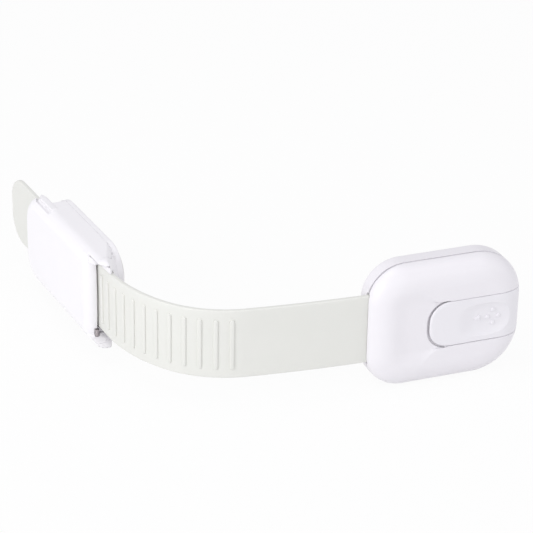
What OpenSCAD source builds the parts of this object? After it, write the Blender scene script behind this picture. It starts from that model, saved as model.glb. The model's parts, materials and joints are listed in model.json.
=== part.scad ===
// Cabinet safety lock: a lock head on an adhesive base, a ribbed flexible strap and an adhesive buckle.
// Origin: centre of the door pad's sticky face. +X runs along the head away from the strap,
// +Y points into the furniture, +Z is up, across the strap's width. Lengths are in millimetres.

/* [Lock head] */
// Length of the head along X
head_len = 45; // [42:0.5:52]
// Height of the head above and below the strap's edges
head_side = 8; // [7:0.1:11]
// Radius of the head's corners at the strap's end, in front view
head_corner_r = 10.5; // [9.5:0.25:12]
// Radius of the head's corners at the button's end, in front view
head_end_r = 13.5; // [10.5:0.25:14]
// Depth of the front cover, from the seam to its face
cover_depth = 5.1; // [4.9:0.1:6.5]
// How far the cover's rounded edge reaches in from the rim
cover_round = 7.2; // [5:0.1:8.5]
// Depth of the base tray, from the seam to its back
base_depth = 4.9; // [4.6:0.1:6.5]
// Thickness of the cover's and the tray's walls
shell_wall = 1.5; // [1.2:0.1:1.8]
// Width of the dark seam between cover and tray
seam_gap = 0.3; // [0.2:0.05:0.5]
// Height of the tray's register lip
lip_h = 0.6; // [0.4:0.1:0.7]

/* [Adhesive pads] */
// Thickness of the foam pads
pad_t = 1; // [0.6:0.1:1.5]
// How far the pads lie inside their base's outline
pad_inset = 2.5; // [1.5:0.1:4]

/* [Slide button] */
// Width of the button across Z
button_w = 13.3; // [12:0.1:14]
// Distance from the head's right rim to the button's left end
button_reach = 28.5; // [27:0.1:30]
// Corner radius of the button's left end
button_end_r = 5.5; // [4:0.1:6]
// Travel of the button towards the strap
button_travel = 5; // [4:0.1:5.5]
// Thickness of the button's plate
button_plate = 1.05; // [0.8:0.05:1.1]
// Running gap around the button
button_gap = 0.2; // [0.15:0.01:0.3]
// Depth of the valley that the button slides over
valley_depth = 1.15; // [1:0.05:1.3]
// Wall left under the valley
valley_wall = 1.05; // [0.9:0.05:1.2]
// Length of the slope at the valley's end
valley_slope = 4; // [2:0.1:5]
// Radius of the finger scoop's dish
scoop_r = 34; // [25:1:45]
// Depth of the finger scoop
scoop_depth = 0.5; // [0.3:0.05:0.6]
// Distance from the right rim to the scoop's centre
scoop_in = 11; // [9:0.1:13]

/* [Latch] */
// Thickness of the latch slider's plate
slider_t = 1; // [0.8:0.05:1.1]
// Half width of the slider's plate
slider_half = 8; // [7.6:0.1:8.5]
// Overlap of a hook's foot and its catch
hook_land = 0.7; // [0.5:0.05:0.8]
// Free play between a hook's foot and its catch
hook_play = 0.9; // [0.85:0.05:1.1]
// Width of a hook along Z
hook_w = 4; // [3:0.1:4.4]
// Thickness of a hook's leg along X
hook_leg = 1.8; // [1.4:0.1:2]
// Length of a hook's foot beyond its leg
hook_foot = 1.2; // [1:0.05:1.4]
// Height of the hooks above and below the head's middle
hook_up = 4.7; // [4.4:0.1:5]
// Thickness of a catch's lip
catch_lip = 1; // [0.8:0.05:1.1]
// Thickness of a catch's post along X
catch_post = 1.8; // [1.4:0.1:2.2]
// Thickness of the chassis plate
chassis_t = 0.95; // [0.8:0.05:1]
// Outer diameter of a return spring
spring_od = 2.6; // [2:0.1:2.6]
// Wire diameter of a return spring
spring_wire = 0.4; // [0.3:0.05:0.5]
// Turns of a return spring
spring_turns = 7; // [5:1:8]
// Length of a return spring at rest
spring_len = 12; // [10:0.5:13]

/* [Strap] */
// Width of the strap
strap_w = 20; // [18:0.5:20.5]
// Thickness of the strap
strap_t = 1.4; // [1.2:0.05:1.5]
// Length of the strap held inside the head
strap_root = 12.5; // [11.5:0.5:12.5]
// Length of the short bend at the head's rim
exit_len = 3; // [2:0.5:6]
// Turn of the short bend at the head's rim, in degrees
exit_angle = 3; // [1:0.5:5]
// Length of the gentle bend that follows
ease_len = 30.4; // [26:0.2:36]
// Turn of the gentle bend, in degrees
ease_angle = 5; // [3:0.5:8]
// Length of the tight bend round the furniture's corner
corner_len = 23; // [20:0.5:30]
// Turn of the tight bend, in degrees
corner_angle = 47; // [40:0.5:52]
// Length of the bend that leads into the buckle
lead_len = 23; // [20:0.5:30]
// Turn of the bend that leads into the buckle, in degrees
lead_angle = 29.5; // [22:0.5:32]
// Length of the straight end
tail_len = 73.6; // [68:0.2:90]
// Corner radius of the strap's tail
tail_r = 8; // [5:0.5:9]
// Distance between ribs
rib_pitch = 4.2; // [3.8:0.1:4.6]
// Width of a rib along the strap
rib_w = 1.3; // [1:0.1:1.6]
// Length of a rib across the strap
rib_len = 14.8; // [12:0.1:16]
// Height of a rib
rib_h = 0.45; // [0.3:0.05:0.5]
// Number of ribs
rib_count = 20; // [16:1:20]
// Distance from the head's rim to the first rib
rib_start = 37; // [32:0.5:40]

/* [Buckle] */
// Length of the buckle along the strap
buckle_len = 56.5; // [55:0.5:60]
// Length of the buckle's base plate
plate_len = 46; // [44:0.5:47]
// Height of the buckle above and below the strap's edges
buckle_side = 3.4; // [2.8:0.1:5]
// Radius of the buckle's corners in front view
buckle_corner_r = 9; // [7:0.5:11]
// Distance along the strap from the head's rim to the buckle's middle
buckle_at = 105; // [104:0.5:112]
// Corner radius of the cheeks beside the buckle's mouth
cheek_r = 4; // [3.8:0.1:6]
// Thickness of the cheeks beside the buckle's mouth
cheek_t = 1.4; // [1.2:0.1:1.8]
// Distance from the strap's middle plane to the buckle's face
buckle_front = 4.5; // [4.4:0.1:5.5]
// Rounding of the buckle's front edges
buckle_round = 3.5; // [3:0.1:3.7]
// Thickness of the buckle's base plate
plate_t = 1.8; // [1.4:0.1:2.4]
// Height of the strap's bed above the base plate
bed_h = 3; // [2.6:0.05:3.6]
// Thickness of the bed's top and ribs
bed_t = 1.2; // [1:0.1:1.4]
// Thickness of the lid's panel
lid_t = 1.6; // [1.4:0.1:1.6]
// Thickness of the lid's side skirts
skirt_t = 1.4; // [1.2:0.1:1.4]
// Distance from the buckle's mouth to the hinge of the lid
hinge_in = 9; // [8.5:0.1:10]
// Height of the hinge above the strap's middle plane
hinge_up = 1.4; // [1.2:0.05:1.5]
// Diameter of a hinge pin
pin_d = 1.2; // [1:0.05:1.4]
// Radius of the base's ear round the hinge pin
base_ear_r = 1.3; // [1.1:0.05:1.35]
// Thickness of the lid's lip over the mouth
mouth_lip_t = 1.8; // [1.4:0.1:2.2]
// Length of the lid's raised skirt at the tail
tab_len = 9.25; // [7:0.25:11]
// Length of the slot above each snap tab
slot_len = 17.25; // [14:0.25:20]
// Width of the slot above each snap tab
slot_w = 0.8; // [0.5:0.05:1]
// Number of teeth inside the lid
tooth_count = 4; // [2:1:4]
// Width of a tooth along the strap
tooth_w = 1.5; // [1:0.1:1.8]

/* [Screws] */
// Diameter of a screw's shank
screw_d = 1.6; // [1.4:0.05:1.8]
// Diameter of a screw's head
screw_head_d = 3.2; // [2.8:0.1:3.4]
// Thickness of a screw's head
screw_head_t = 0.9; // [0.7:0.05:1]
// Outer diameter of a screw boss
boss_d = 3.8; // [3.4:0.1:4]

/* [Hidden] */
$fn = 48;

// Facets of the moulded shells, and steps along their rounded edges
shell_fn = 32;
round_steps = 8;
// Cuts run past the faces that they cut by this much
overrun = 2;
// Small running gaps: between flat sliding faces, in screw holes and beside a pin
slide_gap = 0.1;
hole_gap = 0.05;
pin_gap = 0.05;
press_gap = 0.02;
// The strap's clearance to the faces above and below it, and to the faces beside it
strap_gap = 0.05;
strap_side_gap = 0.3;

// Heights that follow the strap's width
head_h = strap_w + 2*head_side;
buckle_h = strap_w + 2*buckle_side;

// The head's layers, measured towards the viewer from the seam
seam_y = -(pad_t + base_depth);
valley_floor = cover_depth - valley_depth;
slider_front = valley_floor - valley_wall - slide_gap;
slider_back = slider_front - slider_t;
chassis_front = slider_back - slide_gap;
chassis_back = chassis_front - chassis_t;
strap_front = strap_t/2;
clamp_front = -strap_t/2 - strap_gap;
clamp_t = 1;
clamp_back = clamp_front - clamp_t;
tray_floor = -base_depth + shell_wall;
catch_room = 0.5;
catch_front = chassis_back - catch_room;
catch_back = catch_front - catch_lip;
foot_front = catch_back - hook_play;
foot_room = 0.6;
foot_back = tray_floor + foot_room;

// The chassis plate, its screws and the strap's anchor
chassis_inset = 0.8;
chassis_len = head_len - 2*(shell_wall + chassis_inset);
lip_t = 0.8;
lip_inset = shell_wall + 2*slide_gap;
tray_room = lip_inset + lip_t;
chassis_screw_off = 3.2;
chassis_screw_x = head_len/2 - max(head_corner_r, head_end_r) + chassis_screw_off;
chassis_screw_up = (strap_w/2 + strap_side_gap + head_h/2 - tray_room)/2;
clamp_len = 9;
clamp_h = strap_w - 2*screw_d;
clamp_margin = 0.6;
strap_end = -head_len/2 + strap_root;
clamp_mid = strap_end - clamp_margin - clamp_len/2;
clamp_screw_share = 0.25;
clamp_screw_up = strap_w*clamp_screw_share;

// The button's plan
button_left = head_len/2 - button_reach;
button_low = chassis_front + button_gap;
stem_d = boss_d;
stem_in = 16.3;
stem_first = head_len/2 - stem_in;
stem_pitch = 7;
stems = [stem_first, stem_first + stem_pitch];
opening_left = stem_first - button_travel - stem_d/2 - button_gap;
valley_left = button_left - button_travel - button_gap;
mark_h = 0.3;
mark_r = 0.55;
mark_in = 9.45;
mark_dx = 1.6;
mark_dz = 1.95;
arrow_in = 14.5;
arrow_size = 0.8;

// The hooks and catches
hook_in = 12.5;
hook_pitch = 13;
hook_right = head_len/2 - hook_in;
hook_left = hook_right - hook_pitch;
hooks = [hook_left, hook_right];
hook_room = 0.3;

// The return springs
spring_up = slider_half + spring_od/2 + 2*slide_gap;
spring_r = (spring_od - spring_wire)/2;
spring_rings = 8;
spring_sides = 6;
lug_t = 1.4;
spring_left = hook_left;
spring_mid = (cover_depth - shell_wall + chassis_back)/2 - slide_gap;
slider_left = button_left + slide_gap;
slider_right = hook_right + hook_leg + hook_foot;

// The strap's plan: runs of length and turn, from its end in the head to its tail
RUNS = [
    [strap_root, 0], [exit_len, exit_angle], [ease_len, ease_angle],
    [corner_len, corner_angle], [lead_len, lead_angle], [tail_len, 0]
];
strap_start = [strap_end, seam_y];
bend_step = 2.3;
bends_from = strap_root;
bends_len = exit_len + ease_len + corner_len + lead_len;
bends_angle = exit_angle + ease_angle + corner_angle + lead_angle;
strap_total = bends_from + bends_len + tail_len;
rib_sink_share = 0.25;
rib_sink = strap_t*rib_sink_share;
rib_room = 0.5;
tail_edge = 0.05;

// A point of the strap's middle line and its heading, s along it from its end in the head
function run_end(p, a, len, turn) =
    turn == 0
    ? p + len*[-cos(a), sin(a)]
    : let (r = len*180/(turn*PI)) p + r*[sin(a) - sin(a + turn), cos(a) - cos(a + turn)];
function strap_at(s, i = 0, p = strap_start, a = 0) =
    let (len = RUNS[i][0], turn = RUNS[i][1])
    (s <= len || i == len(RUNS) - 1)
    ? let (part_turn = turn*s/len) concat(run_end(p, a, s, part_turn), a + part_turn)
    : strap_at(s - len, i + 1, run_end(p, a, len, turn), a + turn);
function outward(a) = [-sin(a), -cos(a)];
function strap_side(s, off) =
    let (q = strap_at(s)) [q[0], q[1]] + off*outward(q[2]);

// The buckle's layers, measured outward from the strap's middle plane
bed_top = -strap_t/2 - strap_gap;
plate_front = bed_top - bed_h;
plate_back = plate_front - plate_t;
lid_inner = buckle_front - lid_t;
lid_foot_gap = 0.2;
lid_foot = plate_front + lid_foot_gap;
hinge_x = buckle_len/2 - hinge_in;
lid_room = buckle_h/2 - skirt_t;
ear_gap = 0.15;
ear_inner = strap_w/2 + strap_side_gap;
ear_outer = lid_room - ear_gap;
pin_cap_share = 0.4;
pin_end = buckle_h/2 - skirt_t*pin_cap_share;
cheek_gap = 0.25;
lid_ear_r = norm([buckle_front - hinge_up, buckle_front - hinge_up]);
cheek_inner = buckle_h/2 - cheek_t;
cheek_low = 0.5;
mouth_top = bed_top - strap_side_gap;
mouth_low = strap_t/2 + rib_h + lid_foot_gap;
mouth_x = hinge_x - lid_foot_gap;
mouth_r = buckle_front - mouth_low;
tab_low = -0.9;
tab_x = -buckle_len/2 + tab_len;
tab_face = buckle_h/2 + slide_gap;
slot_in = (buckle_h - buckle_corner_r)/2;
slot_top = lid_inner + cheek_gap;
slot_to = -buckle_len/2 + slot_len;
slot_bend = 7.75;
slot_bend_x = -buckle_len/2 + slot_bend;
slot_tip = 0.4;
slot_tip_x = -buckle_len/2 + slot_tip;
bed_half = strap_w/2 + strap_gap;
bed_from = -plate_len/2 + shell_wall;
bed_to = hinge_x - base_ear_r - pin_d;
tail_slot = strap_w/2 + strap_side_gap;
tail_slot_top = strap_t/2 + rib_h + strap_side_gap;
tooth_tip_share = 0.3;
tooth_tip = strap_t/2 + rib_h*tooth_tip_share;
tooth_half = rib_len/2;
buckle_frame_at = strap_at(strap_root + buckle_at);

// Places that the joints use
function turned(v, a) = [v[0]*cos(a) - v[1]*sin(a), v[0]*sin(a) + v[1]*cos(a)];
bends_start = strap_at(bends_from);
bends_end = strap_at(bends_from + bends_len);
straight_end = [bends_start[0] - bends_len, bends_start[1]];
flex_gap = straight_end - turned([bends_end[0], bends_end[1]], bends_angle);
flex_half = 1/(2*tan(bends_angle/2));
flex_axis = [flex_gap[0]/2 - flex_gap[1]*flex_half, flex_gap[1]/2 + flex_gap[0]*flex_half];
lid_axis = [buckle_frame_at[0], buckle_frame_at[1]]
    + hinge_x*[cos(buckle_frame_at[2]), -sin(buckle_frame_at[2])] + hinge_up*outward(buckle_frame_at[2]);
buckle_pad_at = [buckle_frame_at[0], buckle_frame_at[1]]
    + (plate_back - pad_t)*outward(buckle_frame_at[2]);
echo(flex_axis = flex_axis, lid_axis = lid_axis, buckle_pad_at = buckle_pad_at, heading = bends_angle);
echo(buckle_mid = buckle_frame_at, strap_total = strap_total);

// Frames: X along the piece, Y up and Z towards the viewer
module head_frame() {
    translate([0, seam_y, 0]) rotate([90, 0, 0]) children();
}
module strap_frame(s) {
    q = strap_at(s);
    translate([q[0], q[1], 0]) rotate([0, 0, -q[2]]) rotate([90, 0, 0]) children();
}
module buckle_frame() {
    strap_frame(strap_root + buckle_at) children();
}

// A rounded rectangle about the origin
module rounded(l, h, r) {
    square([l - 2*r, h], center = true);
    square([l, h - 2*r], center = true);
    for (sx = [-1, 1], sy = [-1, 1])
        translate([sx*(l/2 - r), sy*(h/2 - r)]) circle(r);
}

// A plate between two levels
module plate(l, h, r, low, high) {
    translate([0, 0, low]) linear_extrude(high - low) rounded(l, h, r);
}

// A box between two corners
module block(a, b) {
    translate(a) cube(b - a);
}

// The turned corner of a moulded form: upright from low up to edge, then rounded over to the face
module moulded_corner(r, low, edge, face, reach) {
    profile = concat(
        [[0, low], [r, low]],
        [for (i = [0:round_steps]) let (t = 90*i/round_steps)
            [r - reach*(1 - cos(t)), edge + (face - edge)*sin(t)]],
        [[0, face]]);
    rotate_extrude($fn = shell_fn) polygon(profile);
}

// A moulded form between four such corners, with a corner radius for each end
module moulded(l, h, r, end_r, low, edge, face, reach) {
    hull()
        for (sy = [-1, 1]) {
            translate([r - l/2, sy*(h/2 - r), 0]) moulded_corner(r, low, edge, face, reach);
            translate([l/2 - end_r, sy*(h/2 - end_r), 0]) moulded_corner(end_r, low, edge, face, reach);
        }
}

// A plate of the head's outline, drawn in by a given amount
module head_plate(inset, low, high) {
    end_r = head_end_r - inset;
    long = head_len - 2*inset;
    translate([0, 0, low]) linear_extrude(high - low)
        intersection() {
            rounded(long, head_h - 2*inset, head_corner_r - inset);
            translate([-end_r, 0]) rounded(long + 2*end_r, head_h - 2*inset, end_r);
        }
}

// The cover's form, drawn in by a given amount all round
module cover_form(inset) {
    moulded(head_len - 2*inset, head_h - 2*inset, head_corner_r - inset, head_end_r - inset, -overrun, 0,
        cover_depth - inset, cover_round - inset);
}

// The buckle's form, drawn in at its sides and at its face
module buckle_form(side, face, low) {
    r = buckle_corner_r - side;
    moulded(buckle_len - 2*side, buckle_h - 2*side, r, r, low,
        buckle_front - buckle_round, buckle_front - face, buckle_round - side);
}

// The form that the cheeks and the lid's ears share
module cheek_form(low) {
    moulded(buckle_len, buckle_h, cheek_r, cheek_r, low, buckle_front - buckle_round, buckle_front,
        buckle_round);
}

// A disc round the hinge of the lid, in the upper skirt, grown by a given amount
module ear_disc(grow) {
    translate([hinge_x, buckle_h, hinge_up]) rotate([90, 0, 0])
        cylinder(r = lid_ear_r + grow, h = buckle_h - lid_room + grow);
}

// The button's outline, grown by a given amount, running past the right rim
module button_plan(grow) {
    reach = button_reach + overrun + 2*button_end_r;
    translate([button_left + reach/2, 0]) rounded(reach + 2*grow, button_w + 2*grow, button_end_r + grow);
}

// A pan-head screw, its head's seat at the origin and its shank along +Z
module screw(shank) {
    recess_share = 0.25;
    recess_w = screw_d*recess_share;
    difference() {
        union() {
            translate([0, 0, -screw_head_t]) cylinder(d = screw_head_d, h = screw_head_t);
            cylinder(d = screw_d, h = shank);
        }
        for (a = [0, 90])
            rotate(a) translate([0, 0, -screw_head_t])
                cube([screw_d, recess_w, screw_head_t], center = true);
    }
}

// A pilot hole for a screw, along +Z from its seat
module pilot(from, to) {
    translate([0, 0, from]) cylinder(d = screw_d + 2*hole_gap, h = to - from);
}

// Children at the four chassis screws, or at the two clamp screws
module at_chassis_screws() {
    for (sx = [-1, 1], sy = [-1, 1])
        translate([sx*chassis_screw_x, sy*chassis_screw_up, 0]) children();
}
module at_clamp_screws() {
    for (sy = [-1, 1]) translate([clamp_mid, sy*clamp_screw_up, 0]) children();
}
module at_stems() {
    for (x = stems) translate([x, 0, 0]) children();
}

// Foam pad that sticks the base tray to the door
module door_pad() {
    color("whitesmoke") head_frame()
        head_plate(pad_inset, -base_depth - pad_t, -base_depth);
}

// Base tray with a register lip and four catches
module lock_base() {
    back_round = 1.2;
    strap_notch = strap_w/2 + strap_side_gap;
    color("white") head_frame() {
        difference() {
            union() {
                mirror([0, 0, 1])
                    moulded(head_len, head_h, head_corner_r, head_end_r, seam_gap/2,
                        base_depth - back_round, base_depth, back_round);
                head_plate(lip_inset, tray_floor - slide_gap, lip_h);
            }
            head_plate(tray_room, tray_floor, overrun);
            block([-head_len, -strap_notch, -strap_t/2 - strap_side_gap], [strap_end, strap_notch, overrun]);
        }
        for (x = hooks, sy = [-1, 1]) {
            tip = x + hook_leg + hook_foot;
            low = sy*hook_up - hook_w/2;
            block([tip + hook_room, low, tray_floor - slide_gap],
                [tip + hook_room + catch_post, low + hook_w, catch_front]);
            block([tip - hook_land, low, catch_back],
                [tip + hook_room + catch_post, low + hook_w, catch_front]);
        }
    }
}

// Front cover with the button's valley and opening, the strap's slot and the screw bosses
module head_cover() {
    above = cover_depth + overrun;
    rail_w = 1.1;
    valley_half = button_w/2 + button_gap;
    slope_left = valley_left - valley_slope;
    color("white") head_frame()
        difference() {
            cover_form(0);
            difference() {
                cover_form(shell_wall);
                block([slope_left - valley_slope, -valley_half - rail_w, slider_front + slide_gap],
                    [head_len/2, valley_half + rail_w, above]);
                at_chassis_screws() translate([0, 0, chassis_front]) cylinder(d = boss_d, h = above);
                at_clamp_screws() translate([0, 0, chassis_front]) cylinder(d = boss_d, h = above);
            }
            intersection() {
                linear_extrude(above) translate([-button_travel - valley_slope, 0]) button_plan(button_gap);
                translate([0, head_h/2, 0]) rotate([90, 0, 0]) linear_extrude(head_h)
                    polygon([
                        [head_len, valley_floor], [head_len, above], [slope_left, above],
                        [slope_left, cover_depth], [valley_left, valley_floor]
                    ]);
            }
            block([opening_left, -valley_half, chassis_front], [head_len, valley_half, above]);
            block([-head_len, -head_h, -2*overrun], [head_len, head_h, seam_gap/2]);
            block([-head_len, -strap_w/2 - strap_side_gap, -overrun],
                [-chassis_len/2, strap_w/2 + strap_side_gap, strap_front + strap_gap]);
            at_chassis_screws() pilot(-overrun, cover_depth - shell_wall);
            at_clamp_screws() pilot(-overrun, cover_depth - shell_wall);
        }
}

// Chassis plate that closes the cover and guides the slider, springs and hooks
module head_chassis() {
    tab_t = 1.2;
    color("gainsboro") head_frame() {
        difference() {
            head_plate(shell_wall + chassis_inset, chassis_back, chassis_front);
            for (x = hooks, sy = [-1, 1])
                block([x - button_travel - hook_room, sy*hook_up - hook_w/2 - hook_room, -overrun],
                    [x + hook_leg + hook_foot + hook_room, sy*hook_up + hook_w/2 + hook_room, overrun]);
            for (sy = [-1, 1])
                block([spring_left, sy*spring_up - spring_od/2 - slide_gap, -overrun],
                    [spring_left + spring_len + lug_t + hook_room, sy*spring_up + spring_od/2 + slide_gap,
                        overrun]);
            at_stems()
                translate([-button_travel, 0, -overrun])
                    linear_extrude(2*overrun) {
                        d = screw_head_d + 2*hook_room;
                        circle(d = d);
                        translate([button_travel, 0]) circle(d = d);
                        translate([0, -d/2]) square([button_travel, d]);
                    }
            at_chassis_screws() pilot(-overrun, overrun);
            at_clamp_screws() pilot(-overrun, overrun);
        }
        for (sy = [-1, 1])
            block([spring_left - tab_t, sy*spring_up - spring_od/2, chassis_back],
                [spring_left, sy*spring_up + spring_od/2, spring_mid + spring_od/2]);
    }
}

// Four screws that hold the chassis in the cover
module chassis_screws() {
    color("silver") head_frame()
        at_chassis_screws()
            translate([0, 0, chassis_back]) screw(cover_depth - shell_wall - chassis_back - hook_room);
}

// Slide button: a curved plate with a finger scoop, an arrow, four grip dots and two stems
module slide_button() {
    face = cover_depth - scoop_depth;
    color("white") head_frame()
        difference() {
            union() {
                difference() {
                    intersection() {
                        cover_form(0);
                        translate([0, 0, button_low]) linear_extrude(cover_depth) button_plan(0);
                    }
                    cover_form(button_plate);
                    translate([head_len/2 - scoop_in, 0, face + scoop_r]) sphere(scoop_r, $fn = shell_fn*2);
                }
                at_stems() translate([0, 0, slider_front]) cylinder(d = stem_d, h = face - slider_front);
                translate([head_len/2 - mark_in, 0, face - mark_h]) {
                    for (p = [[mark_dx, 0], [-mark_dx, 0], [0, mark_dz], [0, -mark_dz]])
                        translate(p) cylinder(r = mark_r, h = 2*mark_h);
                    translate([mark_in - arrow_in, 0])
                        linear_extrude(2*mark_h)
                            polygon([[-arrow_size, 0], [arrow_size, arrow_size], [arrow_size, -arrow_size]]);
                }
            }
            at_stems() pilot(-overrun, face - mark_h);
        }
}

// Latch slider under the cover: a plate with four hooks and two spring lugs
module latch_slider() {
    color("gainsboro") head_frame()
        difference() {
            union() {
                block([slider_left, -slider_half, slider_back], [slider_right, slider_half, slider_front]);
                block([spring_left + spring_len, -spring_up - spring_od/2, slider_back],
                    [spring_left + spring_len + lug_t, spring_up + spring_od/2, slider_front]);
                for (x = hooks, sy = [-1, 1]) {
                    low = sy*hook_up - hook_w/2;
                    block([x, low, foot_back], [x + hook_leg, low + hook_w, slider_front]);
                    block([x, low, foot_back], [x + hook_leg + hook_foot, low + hook_w, foot_front]);
                }
            }
            at_stems() pilot(-overrun, overrun + slider_front);
        }
}

// Two screws that join the slider to the button's stems
module button_screws() {
    color("silver") head_frame()
        at_stems() translate([0, 0, slider_back]) screw(slider_t + button_plate);
}

// A coil spring along X as one tube; turn is counted along its wire
function spring_point(t) =
    [spring_len*t/spring_turns*(1 - spring_wire/spring_len) + spring_wire/2,
        spring_r*cos(360*t), spring_r*sin(360*t)];
spring_path = [for (i = [0:spring_turns*spring_rings]) spring_point(i/spring_rings)];
echo(spring_gap = min([for (i = [spring_rings:len(spring_path) - 1])
    norm(spring_path[i] - spring_path[i - spring_rings])]) - spring_wire);
module coil_spring() {
    wire_r = spring_wire/2;
    rings = len(spring_path);
    points = [for (i = [0:rings - 1], k = [0:spring_sides - 1])
        let (a = 360*i/spring_rings, b = 360*k/spring_sides)
        spring_path[i] + wire_r*(cos(b)*[0, cos(a), sin(a)] + sin(b)*[1, 0, 0])];
    sides = [for (i = [0:rings - 2], k = [0:spring_sides - 1])
        let (n = (k + 1) % spring_sides, p = i*spring_sides, q = p + spring_sides)
        each [[p + k, p + n, q + n], [p + k, q + n, q + k]]];
    last = (rings - 1)*spring_sides;
    caps = [for (k = [1:spring_sides - 2]) each [[0, k + 1, k], [last, last + k, last + k + 1]]];
    polyhedron(points, concat(sides, caps));
}
module return_spring(side) {
    color("silver") head_frame()
        translate([spring_left, side*spring_up, spring_mid]) coil_spring();
}
module return_spring_upper() { return_spring(1); }
module return_spring_lower() { return_spring(-1); }

// Strap: one ribbed band from the head, round the corner and through the buckle
module strap() {
    seat = rib_w + rib_room;
    plain = rib_start - seat/2;
    plain_count = ceil(plain/bend_step);
    ribs_end = rib_start + (rib_count - 1)*rib_pitch + seat/2;
    rest_count = ceil((bends_len - ribs_end)/bend_step);
    stations = concat(
        [0],
        [for (i = [0:plain_count - 1]) bends_from + plain*i/plain_count],
        [for (i = [0:rib_count - 1], end = [-1, 1])
            let (mid = rib_start + i*rib_pitch) if (mid - seat/2 < bends_len) bends_from + mid + end*seat/2],
        rest_count > 0
            ? [for (i = [1:rest_count]) bends_from + ribs_end + (bends_len - ribs_end)*i/rest_count]
            : [],
        [strap_total + overrun]);
    outer = [for (s = stations) strap_side(s, strap_t/2)];
    inner = [for (i = [len(stations) - 1:-1:0]) strap_side(stations[i], -strap_t/2)];
    color([0.92, 0.93, 0.9]) {
        difference() {
            translate([0, 0, -strap_w/2]) linear_extrude(strap_w) polygon(concat(outer, inner));
            head_frame() at_clamp_screws() pilot(-overrun, overrun);
            strap_frame(strap_total) translate([0, 0, -overrun]) linear_extrude(2*overrun)
                difference() {
                    translate([-2*overrun, -strap_w]) square([2*overrun + tail_r, 2*strap_w]);
                    translate([2*tail_r, 0]) rounded(4*tail_r, strap_w + 2*tail_edge, tail_r);
                }
        }
        for (i = [0:rib_count - 1])
            strap_frame(strap_root + rib_start + i*rib_pitch)
                translate([0, 0, strap_t/2 - rib_sink]) linear_extrude(rib_h + rib_sink) {
                    square([rib_w, rib_len - rib_w], center = true);
                    for (sy = [-1, 1]) translate([0, sy*(rib_len - rib_w)/2]) circle(d = rib_w);
                }
    }
}

// Clamp plate behind the strap's end
module strap_clamp() {
    clamp_r = 2;
    color("gainsboro") head_frame()
        difference() {
            translate([clamp_mid, 0, 0]) plate(clamp_len, clamp_h, clamp_r, clamp_back, clamp_front);
            at_clamp_screws() pilot(-overrun, overrun);
        }
}

// Two screws through clamp plate, strap and chassis
module clamp_screws() {
    color("silver") head_frame()
        at_clamp_screws()
            translate([0, 0, clamp_back]) screw(cover_depth - shell_wall - clamp_back - hook_room);
}

// Buckle base: plate, strap bed, hinge ears and the cheeks beside the mouth
module buckle_base() {
    low = plate_front - slide_gap;
    above = buckle_front + overrun;
    color("white") buckle_frame()
        difference() {
            union() {
                plate(plate_len, buckle_h, buckle_corner_r, plate_back, plate_front);
                block([bed_from, -bed_half, bed_top - bed_t], [bed_to, bed_half, bed_top]);
                for (y = [-bed_half, -bed_t/2, bed_half - bed_t])
                    block([bed_from, y, low], [bed_to, y + bed_t, bed_top]);
                block([bed_to - bed_t, -ear_outer, low], [hinge_x + base_ear_r, ear_outer, mouth_top]);
                for (side = [0, 1]) mirror([0, side, 0]) {
                    block([hinge_x - base_ear_r, ear_inner, mouth_top - slide_gap],
                        [hinge_x + base_ear_r, ear_outer, hinge_up]);
                    translate([hinge_x, ear_outer, hinge_up]) rotate([90, 0, 0])
                        cylinder(r = base_ear_r, h = ear_outer - ear_inner);
                }
                intersection() {
                    cheek_form(low);
                    difference() {
                        translate([0, buckle_h, 0]) rotate([90, 0, 0]) linear_extrude(2*buckle_h)
                            polygon([
                                [hinge_x + cheek_gap, low], [plate_len/2, low], [buckle_len/2, cheek_low],
                                [buckle_len, cheek_low], [buckle_len, above], [hinge_x + cheek_gap, above]
                            ]);
                        block([hinge_x, -cheek_inner, mouth_top], [2*buckle_len, cheek_inner, 2*above]);
                        for (side = [0, 1]) mirror([0, side, 0]) ear_disc(cheek_gap);
                    }
                }
            }
            translate([hinge_x, 0, hinge_up]) rotate([90, 0, 0])
                cylinder(d = pin_d + 2*press_gap, h = 2*ear_outer + overrun, center = true);
        }
}

// Foam pad that sticks the buckle to the cabinet
module cabinet_pad() {
    color("whitesmoke") buckle_frame()
        plate(plate_len - 2*pad_inset, buckle_h - 2*pad_inset, buckle_corner_r - pad_inset,
            plate_back - pad_t, plate_back);
}

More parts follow.
